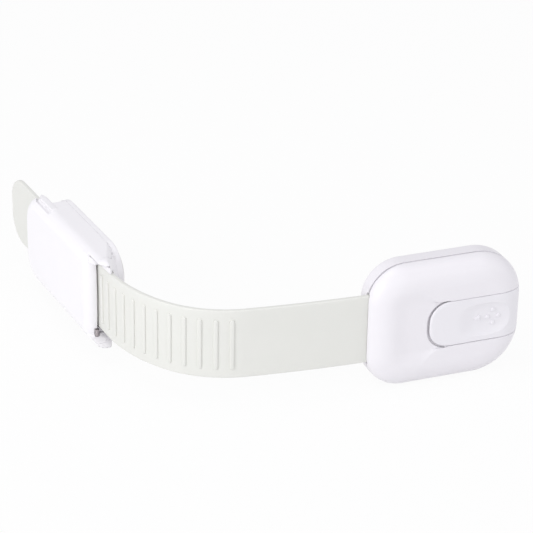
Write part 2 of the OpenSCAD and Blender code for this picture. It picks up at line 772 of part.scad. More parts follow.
// Buckle lid: a hinged shell with teeth between the strap's ribs and a snap tab in each skirt
module buckle_lid() {
    groove = rib_start + rib_pitch*(floor((buckle_at - rib_start)/rib_pitch) + 1/2) - buckle_at;
    first_tooth = -groove - rib_pitch*(tooth_count/2 - 1);
    low = lid_foot - overrun;
    above = 2*buckle_front;
    color("white") buckle_frame()
        difference() {
            union() {
                difference() {
                    buckle_form(0, 0, lid_foot);
                    difference() {
                        buckle_form(skirt_t, lid_t, low);
                        block([mouth_x - mouth_lip_t, -buckle_h, mouth_low], [buckle_len, buckle_h, above]);
                    }
                    block([mouth_x, -buckle_h, low], [buckle_len, buckle_h, above]);
                    difference() {
                        block([mouth_x - mouth_r, -buckle_h, mouth_low], [buckle_len, buckle_h, above]);
                        translate([mouth_x - mouth_r, buckle_h, mouth_low]) rotate([90, 0, 0])
                            cylinder(r = mouth_r, h = 2*buckle_h);
                    }
                }
                intersection() {
                    cheek_form(lid_foot);
                    for (side = [0, 1]) mirror([0, side, 0]) ear_disc(0);
                }
                for (i = [0:tooth_count - 1])
                    translate([first_tooth + i*rib_pitch, 0, 0])
                        block([-tooth_w/2, -tooth_half, tooth_tip],
                            [tooth_w/2, tooth_half, lid_inner + slide_gap]);
                for (side = [0, 1]) mirror([0, side, 0])
                    translate([0, tab_face, 0]) rotate([90, 0, 0])
                        linear_extrude(tab_face - lid_room - slide_gap)
                            polygon([
                                [slot_tip_x + slot_w, tab_low], [slot_to, tab_low],
                                [slot_to, slot_top - slot_w/2], [slot_bend_x, slot_top - slot_w/2]
                            ]);
            }
            block([-buckle_len, -tail_slot, low],
                [-buckle_len/2 + buckle_corner_r + skirt_t, tail_slot, tail_slot_top]);
            block([-buckle_len, -buckle_h, low], [tab_x, buckle_h, tab_low]);
            for (side = [0, 1]) mirror([0, side, 0]) {
                translate([0, buckle_h, 0]) rotate([90, 0, 0]) linear_extrude(buckle_h - slot_in)
                    polygon([
                        [slot_to, slot_top], [slot_bend_x, slot_top], [slot_tip_x, tab_low],
                        [slot_tip_x, tab_low - slot_w], [slot_tip_x + 2*slot_w, tab_low - slot_w],
                        [slot_tip_x + 2*slot_w, tab_low], [slot_bend_x + slot_w, slot_top - slot_w],
                        [slot_to, slot_top - slot_w]
                    ]);
                translate([hinge_x, lid_room, hinge_up]) rotate([90, 0, 0])
                    cylinder(r = base_ear_r + cheek_gap, h = lid_room - ear_inner + strap_gap);
            }
            translate([hinge_x, 0, hinge_up]) rotate([90, 0, 0])
                cylinder(d = pin_d + 2*pin_gap, h = 2*(pin_end + slide_gap), center = true);
        }
}

// Two hinge pins of the lid
module hinge_pins() {
    color("silver") buckle_frame()
        for (sy = [-1, 1])
            translate([hinge_x, sy*(ear_inner + pin_end)/2, hinge_up]) rotate([90, 0, 0])
                cylinder(d = pin_d, h = pin_end - ear_inner, center = true);
}

door_pad();
lock_base();
head_cover();
head_chassis();
chassis_screws();
slide_button();
latch_slider();
button_screws();
return_spring_upper();
return_spring_lower();
strap();
strap_clamp();
clamp_screws();
buckle_base();
cabinet_pad();
buckle_lid();
hinge_pins();
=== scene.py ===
"""Cabinet safety lock on a pale studio floor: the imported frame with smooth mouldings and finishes."""
import functools
import json
import math
import bpy
import numpy as np
from mathutils import Matrix, Vector

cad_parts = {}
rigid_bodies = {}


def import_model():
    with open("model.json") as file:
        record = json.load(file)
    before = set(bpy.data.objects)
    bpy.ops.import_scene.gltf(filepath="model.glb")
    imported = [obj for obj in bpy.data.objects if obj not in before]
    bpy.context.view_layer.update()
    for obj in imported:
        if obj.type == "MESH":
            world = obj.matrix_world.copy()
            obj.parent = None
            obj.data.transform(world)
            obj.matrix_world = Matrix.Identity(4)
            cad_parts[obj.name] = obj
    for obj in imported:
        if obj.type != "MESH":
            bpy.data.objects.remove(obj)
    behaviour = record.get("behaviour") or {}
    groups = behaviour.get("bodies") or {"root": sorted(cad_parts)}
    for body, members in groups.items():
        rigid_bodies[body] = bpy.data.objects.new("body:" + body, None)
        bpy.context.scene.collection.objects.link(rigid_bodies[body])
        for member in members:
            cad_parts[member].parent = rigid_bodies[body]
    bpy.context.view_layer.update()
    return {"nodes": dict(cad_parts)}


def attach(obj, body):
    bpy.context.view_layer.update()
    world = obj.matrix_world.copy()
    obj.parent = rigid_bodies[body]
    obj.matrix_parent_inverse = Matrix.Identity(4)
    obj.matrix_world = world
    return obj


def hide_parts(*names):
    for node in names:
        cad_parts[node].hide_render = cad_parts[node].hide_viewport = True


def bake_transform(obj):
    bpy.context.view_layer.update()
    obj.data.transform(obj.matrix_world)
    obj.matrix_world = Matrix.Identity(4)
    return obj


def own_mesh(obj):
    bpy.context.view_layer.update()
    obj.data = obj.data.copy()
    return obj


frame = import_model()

MM = 0.001
scene = bpy.context.scene
scene.view_settings.view_transform = "Standard"

# Sizes in millimetres. Main sizes are those of the part's source; gaps, edges and small relief follow the photograph
FINE_EDGE, SOFT_EDGE, SUNK = 0.2, 0.3, 0.1
FAR, NO_CUT = 9.0, -9.0

# Lock head: x runs away from the strap, y up, n from the seam towards the viewer
HEAD_L, HEAD_H, HEAD_R, HEAD_END_R = 45.0, 36.0, 10.5, 13.5
COVER, COVER_ROUND, WALL = 5.1, 7.2, 1.5
BASE, BASE_ROUND, SEAM_HALF, SEAM_EDGE = 4.9, 1.2, 0.3, 0.08
PAD_T, PAD_INSET, PAD_EDGE = 1.0, 2.5, 0.35
SEAM_Y = -(PAD_T + BASE)
STRAP_W, STRAP_T, STRAP_END = 20.0, 1.4, -10.0
STRAP_PLAY, STRAP_FIT = 0.3, 0.05
STRAP_SLOT = STRAP_W/2 + STRAP_PLAY
CHASSIS_FRONT, CHASSIS_END = 1.7, -20.2
TRAY_FLOOR, TRAY_CORNER = -3.4, 0.8
LIP_INSET, LIP_T, LIP_H, LIP_ROOT = 1.7, 0.8, 0.6, -2.0
BUTTON_L, BUTTON_W, BUTTON_R, BUTTON_MID = 41.5, 13.3, 5.5, 14.75
BUTTON_GAP, BUTTON_PLATE, BUTTON_LOW = 0.11, 1.05, 1.9
BUTTON_EDGE, BUTTON_END_EDGE, BUTTON_END = 0.35, 0.75, (-1.0, 3.5)
BUTTON_FOOT, BUTTON_TRAVEL = 4.6, 5.1
VALLEY_DEPTH, VALLEY_LEFT, VALLEY_FROM = 0.6, -11.2, -19.5
VALLEY_FALL, VALLEY_STEEP, VALLEY_TURN, VALLEY_SLOPE = 5.0, 0.3, (-9.0, -3.0), 0.95
SHADE_GROOVE, SHADE_FLOOR, SHADE_X, SHADE_Y, SHADE_EDGE = 0.24, 3.95, -0.1, -0.2, 0.15
SLIDER_FRONT, SLIDER_GAP, RAIL_W, OPENING_LEFT = 2.8, 0.1, 1.1, -0.9
SCOOP_X, SCOOP_Y, SCOOP_RIGHT, SCOOP_LEFT, SCOOP_HALF = 10.4, -0.3, 7.7, 9.0, 4.9
SCOOP_DEPTH, SCOOP_FACE, SCOOP_EASE = 0.72, 4.5, 2
SCOOP_POWER, SCOOP_FLAT, SCOOP_SLOPE = 2.5, 4, 0.9
STEMS, STEM_R, STEM_SUNK, STEM_EDGE = (6.2, 13.2), 1.9, 0.3, 0.1
PILOT_R, PILOT_STOP = 0.85, 0.4
DOTS_X, DOT_DX, DOT_DZ, DOT_R = 13.05, 1.6, 1.95, 0.65
ARROW_X, ARROW, ARROW_ROOT, ARROW_H, ARROW_EDGE, ARROW_FILLET = 8.2, 0.9, 0.5, 0.3, 0.25, 0.1
BOSS_R, CHASSIS_SCREW, CLAMP_SCREW = 1.9, (12.2, 12.9), (-15.1, 5.0)
HOOKS, HOOK_TIP, HOOK_UP, HOOK_HALF = (-3.0, 10.0), 3.0, 4.7, 2.0
CATCH_FRONT, CATCH_BACK, CATCH_LAND, CATCH_GAP, CATCH_POST = 0.25, -0.75, 0.7, 0.3, 1.8
SPRING_X, SPRING_UP, SPRING_N, SPRING_L, SPRING_D = -3.0, 9.5, 2.075, 12.0, 2.6
WIRE, TURNS, SPRING_KEEP = 0.4, 7.0, 7/12

# Strap: lengths and turns in degrees of its runs, from its end in the head
RUNS = ((12.5, 0.0), (3.0, 3.0), (30.4, 5.0), (23.0, 47.0), (23.0, 29.5), (73.6, 0.0))
RIM, BUCKLE_AT, TAIL_R, BAND_EDGE, BAND_STEP = 12.5, 105.0, 8.0, 0.4, 0.6
RIB_START, RIB_PITCH, RIB_COUNT = 37.0, 4.2, 20
RIB_W, RIB_L, RIB_H, RIB_PATH_STEP = 1.3, 14.8, 0.45, 0.25

# Buckle: x runs towards its mouth, y up, n outward from the strap's middle
BUCKLE_L, BUCKLE_H, BUCKLE_R = 56.5, 26.8, 9.0
PLATE_L, FACE, ROUND = 46.0, 4.48, 3.48
PLATE_FRONT, PLATE_BACK, PLATE_EDGE = -3.75, -5.55, 0.6
BED_TOP, BED_T = -0.75, 1.2
LID_FOOT, LID_T, SKIRT_T, FOOT_EDGE = -3.74, 1.6, 1.4, 0.02
HINGE_X, HINGE_UP, PIN_R, PIN_END, PIN_PLAY, PIN_FIT = 19.25, 1.4, 0.6, 12.9, 0.05, 0.02
LID_EAR_R, EAR_FILLET, EAR_FADE = 4.384, 0.9, (12.2, 12.9)
BASE_EAR_R, EAR_IN, EAR_OUT, EAR_BACK, EAR_PLAY = 1.3, 10.3, 11.85, 0.85, 0.15
KNUCKLE_R, KNUCKLE_SUNK = 2.0, 0.3
MOUTH_TOP, MOUTH_LOW, MOUTH_X, MOUTH_LIP = -1.05, 1.2, 19.05, 1.8
MOUTH_R, MOUTH_BOW, MOUTH_EDGE = 3.3, 0.4, 0.25
CHEEK_R, CHEEK_IN, CHEEK_LOW, CHEEK_GAP = 4.0, 12.0, 0.5, 0.25
CHEEK_LEAN, CHEEK_LEAN_FROM = 0.2, 0.3
PART_GAP, PART_EDGE = 0.04, 0.05
SHELF_X, SHELF_TOP, STEP_TOP, STEP_W = 21.4, 0.9, -0.8, 2.3
POCKET, POCKET_PLAY = -3.1, 0.2
TAB_X, TAB_LOW, TAB_FACE, TAB_ROUND, TAB_EDGE = -15.8, 0.1, 13.5, 3.5, 0.4
SLOT_IN, SLOT_TOP, SLOT_W, SLOT_DEPTH = 8.9, 3.15, 0.8, 0.6
SLOT_TO, SLOT_BEND, SLOT_TIP = -11.0, -20.5, -27.85
TOOTH_W, TOOTH_TIP, TOOTH_COUNT, TOOTH_SUNK = 1.5, 0.835, 4, 0.2


# Distance fields
def plan(x, y, long, high, r, end_r=None):
    """Distance to a rounded rectangle about the origin; end_r is its corner radius at the +X end."""
    if end_r is not None:
        r = np.where(x > 0, end_r, r)
    qx, qy = np.abs(x) - long/2 + r, np.abs(y) - high/2 + r
    return np.hypot(np.maximum(qx, 0), np.maximum(qy, 0)) + np.minimum(np.maximum(qx, qy), 0) - r


def span(v, low, high):
    return np.maximum(low - v, v - high)


def all_of(*parts):
    """Intersection with sharp edges."""
    return functools.reduce(np.maximum, parts)


def box(x, y, n, low, high):
    return all_of(*(span(v, a, b) for v, a, b in zip((x, y, n), low, high)))


def join(a, b, k=0.0):
    """Union; k is the size of the fillet."""
    return np.minimum(a, b) - np.maximum(k - np.abs(a - b), 0)**2/np.maximum(4*k, 1e-9)


def meet(a, b, k=0.0):
    """Intersection; k is the size of the rounded edge."""
    return -join(-a, -b, k)


def cut(a, b, k=0.0):
    return meet(a, -b, k)


def pillar(a, b, r):
    return np.hypot(a, b) - r


def ease(v, low, high):
    """0 up to low, 1 from high on, and a smooth rise between."""
    t = np.clip((v - low)/(high - low), 0, 1)
    return t*t*(3 - 2*t)


def moulded(side, n, edge, face, reach):
    """Upright sides below edge, and above it a rim that rounds over to the face; side is the outline's field."""
    u = np.maximum(side + reach, 0)/reach
    v = np.maximum(n - edge, 0)/(face - edge)
    k0, k1 = np.hypot(u, v), np.hypot(u/reach, v/(face - edge))
    return np.where(k0 < 1e-3, -min(reach, face - edge), k0*(k0 - 1)/np.maximum(k1, 1e-9))


# Lock head
def head_plan(x, y, inset):
    return plan(x, y, HEAD_L - 2*inset, HEAD_H - 2*inset, HEAD_R - inset, HEAD_END_R - inset)


def cover_form(x, y, n, inset):
    return moulded(head_plan(x, y, inset), n, 0, COVER - inset, COVER_ROUND - inset)


def cover_top(x, y):
    """Height of the cover's face."""
    u = np.clip((head_plan(x, y, 0) + COVER_ROUND)/COVER_ROUND, 0, 1)
    return COVER*np.sqrt(1 - u*u)


def button_plan(x, y, grow):
    return plan(x - BUTTON_MID, y, BUTTON_L + 2*grow, BUTTON_W + 2*grow, BUTTON_R + grow)


def at_screws(x, y, spot, r):
    """Pillars at screws, above and below the middle; a spot at the right stands for both ends."""
    along = np.abs(x) if spot[0] > 0 else x
    return pillar(along - spot[0], np.abs(y) - spot[1], r)


def head_cover(x, y, n):
    half = BUTTON_W/2 + BUTTON_GAP
    rail = half + RAIL_W
    inner = cover_form(x, y, n, WALL)
    under_valley = box(x, y, n, (VALLEY_FROM, -rail, SLIDER_FRONT + SLIDER_GAP), (HEAD_L, rail, FAR))
    inner = cut(inner, under_valley, SOFT_EDGE)
    for spot in (CHASSIS_SCREW, CLAMP_SCREW):
        inner = cut(inner, meet(at_screws(x, y, spot, BOSS_R), CHASSIS_FRONT - n), SOFT_EDGE)
    d = cut(meet(cover_form(x, y, n, 0), SEAM_HALF - n, SEAM_EDGE), inner)
    fall = VALLEY_FALL - (VALLEY_FALL - VALLEY_STEEP)*ease(x, *VALLEY_TURN)
    depth = VALLEY_DEPTH*ease(x, VALLEY_FROM, VALLEY_LEFT)*(1 - ease(np.abs(y), half, half + fall))
    valley = (n - cover_top(x, y) + depth)*VALLEY_SLOPE
    d = np.maximum(d, np.where((depth > 0) & (x < 0), valley, NO_CUT))
    groove = button_plan(x - SHADE_X, y - SHADE_Y, SHADE_GROOVE)
    d = cut(d, all_of(groove, SHADE_FLOOR - n, x - OPENING_LEFT), SHADE_EDGE)
    d = cut(d, box(x, y, n, (OPENING_LEFT, -half, CHASSIS_FRONT), (HEAD_L, half, FAR)), FINE_EDGE)
    strap_slot = box(x, y, n, (-HEAD_L, -STRAP_SLOT, -FAR), (CHASSIS_END, STRAP_SLOT, STRAP_T/2 + STRAP_FIT))
    d = cut(d, strap_slot, FINE_EDGE)
    for spot in (CHASSIS_SCREW, CLAMP_SCREW):
        d = cut(d, meet(at_screws(x, y, spot, PILOT_R), n - COVER + WALL))
    return d


def lock_base(x, y, n):
    body = moulded(head_plan(x, y, 0), -n, BASE - BASE_ROUND, BASE, BASE_ROUND)
    d = meet(body, n + SEAM_HALF, SEAM_EDGE)
    d = join(d, meet(head_plan(x, y, LIP_INSET), span(n, LIP_ROOT, LIP_H), SOFT_EDGE))
    d = cut(d, meet(head_plan(x, y, LIP_INSET + LIP_T), TRAY_FLOOR - n, TRAY_CORNER), FINE_EDGE)
    strap_slot = box(x, y, n, (-HEAD_L, -STRAP_SLOT, -STRAP_T/2 - STRAP_PLAY), (STRAP_END, STRAP_SLOT, FAR))
    d = cut(d, strap_slot, FINE_EDGE)
    across = span(np.abs(y), HOOK_UP - HOOK_HALF, HOOK_UP + HOOK_HALF)
    for hook in HOOKS:
        tip = hook + HOOK_TIP
        far = tip + CATCH_GAP + CATCH_POST
        post = np.maximum(span(x, tip + CATCH_GAP, far), span(n, TRAY_FLOOR - SUNK, CATCH_FRONT))
        land = np.maximum(span(x, tip - CATCH_LAND, far), span(n, CATCH_BACK, CATCH_FRONT))
        d = join(d, meet(np.minimum(post, land), across, SOFT_EDGE), FINE_EDGE)
    return d


def slide_button(x, y, n):
    edge = BUTTON_EDGE + BUTTON_END_EDGE*ease(-x, *BUTTON_END)
    d = meet(cover_form(x, y, n, 0), button_plan(x, y, 0), edge)
    d = meet(d, BUTTON_LOW - n, FINE_EDGE)
    d = cut(d, cover_form(x, y, n, BUTTON_PLATE))
    d = cut(d, np.maximum(n - BUTTON_FOOT, x - OPENING_LEFT - BUTTON_TRAVEL))
    across = np.where(x > SCOOP_X, SCOOP_RIGHT, SCOOP_LEFT)
    share_x, share_y = np.abs((x - SCOOP_X)/across), np.abs((y - SCOOP_Y)/SCOOP_HALF)
    share = (share_x**SCOOP_POWER + share_y**SCOOP_POWER)**(1/SCOOP_POWER)
    depth = SCOOP_DEPTH*np.maximum(1 - share**SCOOP_FLAT, 0)
    depth = depth*ease(x, SCOOP_X - SCOOP_LEFT, SCOOP_X - SCOOP_EASE)
    scoop = (n - cover_top(x, y) + depth)*SCOOP_SLOPE
    d = np.maximum(d, np.where(depth > 0, scoop, NO_CUT))
    for at in STEMS:
        stem = meet(pillar(x - at, y, STEM_R), span(n, SLIDER_FRONT, SCOOP_FACE - STEM_SUNK), STEM_EDGE)
        d = join(d, stem, FINE_EDGE)
        d = cut(d, meet(pillar(x - at, y, PILOT_R), n - SCOOP_FACE + PILOT_STOP))
    ax, ay = x - ARROW_X, np.abs(y)
    arrow = np.maximum((ay*2 - ax - ARROW)/math.sqrt(5), ax - ARROW)
    arrow = meet(arrow, span(n, SCOOP_FACE - ARROW_ROOT, SCOOP_FACE + ARROW_H), ARROW_EDGE)
    return join(d, arrow, ARROW_FILLET)


def door_foam(x, y, n):
    return meet(head_plan(x, y, PAD_INSET), span(n, -BASE - PAD_T, -BASE), PAD_EDGE)


# Buckle
def buckle_form(x, y, n, side, face):
    outline = plan(x, y, BUCKLE_L - 2*side, BUCKLE_H - 2*side, BUCKLE_R - side)
    return moulded(outline, n, FACE - ROUND, FACE - face, ROUND - side)


def cheek_form(x, y, n):
    """The mouth's end: it grows from the base plate's outline to the cheeks' longer and squarer one."""
    long = 2*np.interp(n, (PLATE_FRONT, CHEEK_LOW), (PLATE_L/2, BUCKLE_L/2))
    r = np.interp(n, (PLATE_FRONT, CHEEK_LOW), (BUCKLE_R, CHEEK_R))
    return moulded(plan(np.maximum(x, 0), y, long, BUCKLE_H, r), n, FACE - ROUND, FACE, ROUND)


def mouth_side(y, n):
    """Positive outside the cheeks' inner faces, which lean outward."""
    return np.abs(y) - CHEEK_IN - CHEEK_LEAN*np.maximum(n - CHEEK_LEAN_FROM, 0)


def hinge_disc(x, n, r):
    return pillar(x - HINGE_X, n - HINGE_UP, r)


def line_side(x, n, a, b):
    """Distance to the left of the line from a to b, in the buckle's side view."""
    dx, dn = b[0] - a[0], b[1] - a[1]
    return ((n - a[1])*dx - (x - a[0])*dn)/math.hypot(dx, dn)


def snap_tab(x, n):
    """Side view of the snap tab, up to the middle of the slot above it."""
    middle = SLOT_TOP - SLOT_W/2
    above = np.minimum(middle - n, -line_side(x, n, (SLOT_TIP + SLOT_W, TAB_LOW), (SLOT_BEND, middle)))
    return np.maximum(meet(-above, TAB_LOW - n, TAB_ROUND), x - SLOT_TO)


def snap_slot(x, n):
    """Side view of the slot above the snap tab, which is level and then slants down to its tip."""
    level = np.maximum(span(n, SLOT_TOP - SLOT_W, SLOT_TOP), span(x, SLOT_BEND, SLOT_TO))
    upper = line_side(x, n, (SLOT_TIP, TAB_LOW), (SLOT_BEND, SLOT_TOP))
    lower = -line_side(x, n, (SLOT_TIP + 2*SLOT_W, TAB_LOW), (SLOT_BEND + SLOT_W, SLOT_TOP - SLOT_W))
    return np.minimum(level, all_of(upper, lower, x - SLOT_BEND - SLOT_W/2, n - SLOT_TOP))


def tooth_places():
    """Where the lid's teeth stand, between the strap's ribs."""
    groove = RIB_START + RIB_PITCH*(math.floor((BUCKLE_AT - RIB_START)/RIB_PITCH) + 0.5) - BUCKLE_AT
    return [-groove - RIB_PITCH*(TOOTH_COUNT/2 - 1) + i*RIB_PITCH for i in range(TOOTH_COUNT)]


def buckle_lid(x, y, n):
    ay = np.abs(y)
    room = BUCKLE_H/2 - SKIRT_T
    whole, cheeks = buckle_form(x, y, n, 0, 0), cheek_form(x, y, n)
    inner = buckle_form(x, y, n, SKIRT_T, LID_T)
    inner = cut(inner, np.maximum(MOUTH_X - MOUTH_LIP - x, MOUTH_LOW - n), SOFT_EDGE)
    d = cut(meet(np.maximum(whole, cheeks), LID_FOOT - n, FOOT_EDGE), inner)
    mouth_x = MOUTH_X + MOUTH_BOW*(1 - (y/CHEEK_IN)**2)
    roll = pillar(x - mouth_x + MOUTH_R, n - MOUTH_LOW, MOUTH_R)
    roll = np.where((x > mouth_x - MOUTH_R) & (n > MOUTH_LOW), roll, NO_CUT)
    d = meet(d, np.maximum(x - mouth_x, roll), MOUTH_EDGE)
    ear = meet(hinge_disc(x, n, LID_EAR_R), -mouth_side(y, n), FINE_EDGE)
    ear = meet(meet(cheeks, ear, PART_EDGE), LID_FOOT - n, FOOT_EDGE)
    d = join(d, ear, EAR_FILLET*(1 - ease(ay, *EAR_FADE)))
    knuckle_y = span(y, EAR_IN + PIN_PLAY, CHEEK_IN + KNUCKLE_SUNK)
    d = join(d, meet(hinge_disc(x, n, KNUCKLE_R), knuckle_y, FINE_EDGE), FINE_EDGE)
    tooth_face = np.maximum(ay - RIB_L/2, span(n, TOOTH_TIP, FACE - LID_T + TOOTH_SUNK))
    for at in tooth_places():
        d = join(d, meet(span(x, at - TOOTH_W/2, at + TOOTH_W/2), tooth_face, SOFT_EDGE), FINE_EDGE)
    d = join(d, meet(snap_tab(x, n), span(ay, room + SUNK, TAB_FACE), TAB_EDGE))
    strap_top = STRAP_T/2 + RIB_H
    strap_exit = all_of(ay - STRAP_SLOT, n - strap_top - STRAP_PLAY, x + BUCKLE_L/2 - BUCKLE_R - SKIRT_T)
    d = cut(d, strap_exit, SOFT_EDGE)
    d = cut(d, np.maximum(x - TAB_X, n - TAB_LOW), SOFT_EDGE)
    d = cut(d, all_of(snap_slot(x, n), SLOT_IN - ay, -SLOT_DEPTH - whole), TAB_EDGE)
    ear_room = np.maximum(hinge_disc(x, n, BASE_EAR_R + CHEEK_GAP), span(ay, EAR_IN - PIN_PLAY, room))
    d = cut(d, np.maximum(ear_room, x - HINGE_X + EAR_BACK - EAR_PLAY))
    return cut(d, np.maximum(hinge_disc(x, n, PIN_R + PIN_PLAY), span(ay, EAR_IN - SUNK, PIN_END)))


def buckle_base(x, y, n):
    ay = np.abs(y)
    low = PLATE_FRONT - SUNK
    d = meet(plan(x, y, PLATE_L, BUCKLE_H, BUCKLE_R), n - PLATE_FRONT, FOOT_EDGE)
    d = meet(d, PLATE_BACK - n, PLATE_EDGE)
    bed_from, bed_to = -PLATE_L/2 + WALL, HINGE_X - BASE_EAR_R - 2*PIN_R
    half = STRAP_W/2 + STRAP_FIT
    bed = np.maximum(span(n, BED_TOP - BED_T, BED_TOP), ay - half)
    walls = np.maximum(np.minimum(span(ay, half - BED_T, half), ay - BED_T/2), span(n, low, BED_TOP))
    d = join(d, meet(np.minimum(bed, walls), span(x, bed_from, bed_to), FINE_EDGE), SOFT_EDGE)
    sill = box(x, ay, n, (bed_to - BED_T, -1, low), (HINGE_X + BASE_EAR_R, EAR_OUT, MOUTH_TOP))
    d = join(d, sill, FINE_EDGE)
    column = np.maximum(np.abs(x - HINGE_X) - BASE_EAR_R, span(n, MOUTH_TOP - SUNK, HINGE_UP))
    ear = np.maximum(np.minimum(column, hinge_disc(x, n, BASE_EAR_R)), x - HINGE_X + EAR_BACK)
    d = join(d, meet(ear, span(ay, EAR_IN, EAR_OUT), FINE_EDGE), FINE_EDGE)
    side = np.maximum(HINGE_X + CHEEK_GAP - x, low - n)
    side = cut(side, np.maximum(mouth_side(y, n), MOUTH_TOP - n), SOFT_EDGE)
    inner = CHEEK_IN - PART_GAP
    side = cut(side, np.maximum(hinge_disc(x, n, LID_EAR_R + PART_GAP), inner - ay), PART_EDGE)
    shelf = all_of(span(y, EAR_IN, inner), SHELF_X - x, span(n, low, SHELF_TOP))
    step = all_of(span(y, EAR_IN - STEP_W, inner), SHELF_X - x, span(n, low, STEP_TOP))
    side = join(side, np.minimum(shelf, step))
    d = join(d, meet(cheek_form(x, y, n), side, PART_EDGE), PART_EDGE)
    pocket_from = HINGE_X - EAR_BACK + POCKET_PLAY
    d = cut(d, all_of(EAR_IN - POCKET_PLAY + y, pocket_from - x, POCKET - n, -y - CHEEK_IN), SOFT_EDGE)
    return cut(d, np.maximum(hinge_disc(x, n, PIN_R + PIN_FIT), span(ay, EAR_IN - SUNK, PIN_END)))


def cabinet_foam(x, y, n):
    outline = plan(x, y, PLATE_L - 2*PAD_INSET, BUCKLE_H - 2*PAD_INSET, BUCKLE_R - PAD_INSET)
    return meet(outline, span(n, PLATE_BACK - PAD_T, PLATE_BACK), PAD_EDGE)


# Meshes
CORNERS = np.array([(i, j, k) for i in (0, 1) for j in (0, 1) for k in (0, 1)])
EDGES = [(a, b) for a in range(8) for b in range(a + 1, 8) if np.abs(CORNERS[a] - CORNERS[b]).sum() == 1]
CELLS_BEFORE, CELLS_AFTER = 1.7, 2.7
PASSES, MOST_MOVE, LEAST_SLOPE = 3, 0.3, 0.05
SLOPE_REACH, NORMAL_REACH = 0.02, 0.06


def slope(field, p, h):
    g = [field(*(p + h*e).T) - field(*(p - h*e).T) for e in np.eye(3)]
    return np.stack(g, 1)/(2*h)


def net(field, low, high, step):
    """Points, quads and normals of a field's surface."""
    axes = [np.arange(a - CELLS_BEFORE*step, b + CELLS_AFTER*step, step) for a, b in zip(low, high)]
    origin = np.array([a[0] for a in axes])
    f = field(*np.meshgrid(*axes, indexing="ij"))
    inside = f < 0
    cells = np.array(f.shape) - 1
    count = sum(inside[tuple(slice(c, c + size) for c, size in zip(corner, cells))].astype(np.int8)
                for corner in CORNERS)
    active = (count > 0) & (count < 8)
    index = np.full(active.shape, -1)
    index[active] = np.arange(active.sum())
    cell = np.argwhere(active)
    values = [f[tuple((cell + c).T)] for c in CORNERS]
    total, hits = np.zeros((len(cell), 3)), np.zeros((len(cell), 1))
    for a, b in EDGES:
        crossed = ((values[a] < 0) != (values[b] < 0))[:, None]
        t = values[a]/np.where(values[a] == values[b], 1, values[a] - values[b])
        total += np.where(crossed, CORNERS[a] + t[:, None]*(CORNERS[b] - CORNERS[a]), 0)
        hits += crossed
    p = origin + (cell + total/hits)*step
    quads = []
    for axis in range(3):
        u, v = np.eye(3, dtype=int)[(axis + 1) % 3], np.eye(3, dtype=int)[(axis + 2) % 3]
        first = [slice(None)]*3
        second = [slice(None)]*3
        first[axis], second[axis] = slice(0, -1), slice(1, None)
        a, b = inside[tuple(first)], inside[tuple(second)]
        at = np.argwhere(a != b)
        out = a[tuple(at.T)]
        ring = np.stack([index[tuple(q.T)] for q in (at - u - v, at - v, at, at - u)], 1)
        quads.append(np.where(out[:, None], ring, ring[:, ::-1]))
    for _ in range(PASSES):
        d, g = field(*p.T), slope(field, p, SLOPE_REACH)
        move = -d[:, None]*g/np.maximum((g*g).sum(1), LEAST_SLOPE)[:, None]
        far = np.linalg.norm(move, axis=1)[:, None]
        p = p + move*np.minimum(1, MOST_MOVE*step/np.maximum(far, 1e-9))
    g = slope(field, p, NORMAL_REACH)
    return p, np.concatenate(quads), g/np.maximum(np.linalg.norm(g, axis=1), 1e-9)[:, None]


def strap_at(s):
    """Middle point and heading of the strap, s along it from its end in the head."""
    p, a = np.array([STRAP_END, SEAM_Y]), 0.0
    for i, (length, turn) in enumerate(RUNS):
        part = s if i == len(RUNS) - 1 else min(s, length)
        if turn:
            r, b = length/math.radians(turn), a + math.radians(turn)*part/length
            p, a = p + r*np.array([math.sin(a) - math.sin(b), math.cos(a) - math.cos(b)]), b
        else:
            p = p + part*np.array([-math.cos(a), math.sin(a)])
        s -= part
        if s <= 0:
            break
    return p, a


BUCKLE_MID, BUCKLE_TURN = strap_at(RIM + BUCKLE_AT)


def from_head(p):
    """Directions turned from the head's own axes, and the shift that a point takes as well."""
    return np.stack([p[:, 0], -p[:, 2], p[:, 1]], 1), np.array([0, SEAM_Y, 0])


def from_buckle(p):
    """Directions turned from the buckle's own axes, and the shift that a point takes as well."""
    c, s = math.cos(BUCKLE_TURN), math.sin(BUCKLE_TURN)
    turned = np.stack([p[:, 0]*c - p[:, 2]*s, -p[:, 0]*s - p[:, 2]*c, p[:, 1]], 1)
    return turned, np.array([*BUCKLE_MID, 0])


def mesh_object(name, points, faces, material, normals=None):
    mesh = bpy.data.meshes.new(name)
    mesh.from_pydata((np.asarray(points)*MM).tolist(), [], [list(map(int, f)) for f in faces])
    mesh.materials.append(material)
    mesh.polygons.foreach_set("use_smooth", [True]*len(mesh.polygons))
    mesh.validate()
    if normals is not None:
        mesh.normals_split_custom_set_from_vertices([tuple(v) for v in normals])
    obj = bpy.data.objects.new(name, mesh)
    scene.collection.objects.link(obj)
    return obj


def moulding(name, field, low, high, step, place, material):
    p, quads, normals = net(field, low, high, step)
    turned, shift = place(p)
    return mesh_object(name, turned + shift, quads, material, place(normals)[0])


# Finishes
class Value:
    """A socket that takes part in expressions."""

    def __init__(self, finish, socket):
        self.finish, self.socket = finish, socket

    def math(self, operation, a, b):
        return self.finish.node("ShaderNodeMath", {"operation": operation}, {0: a, 1: b})

    def __add__(self, other): return self.math("ADD", self, other)
    def __radd__(self, other): return self.math("ADD", other, self)
    def __sub__(self, other): return self.math("SUBTRACT", self, other)
    def __rsub__(self, other): return self.math("SUBTRACT", other, self)
    def __mul__(self, other): return self.math("MULTIPLY", self, other)
    def __rmul__(self, other): return self.math("MULTIPLY", other, self)


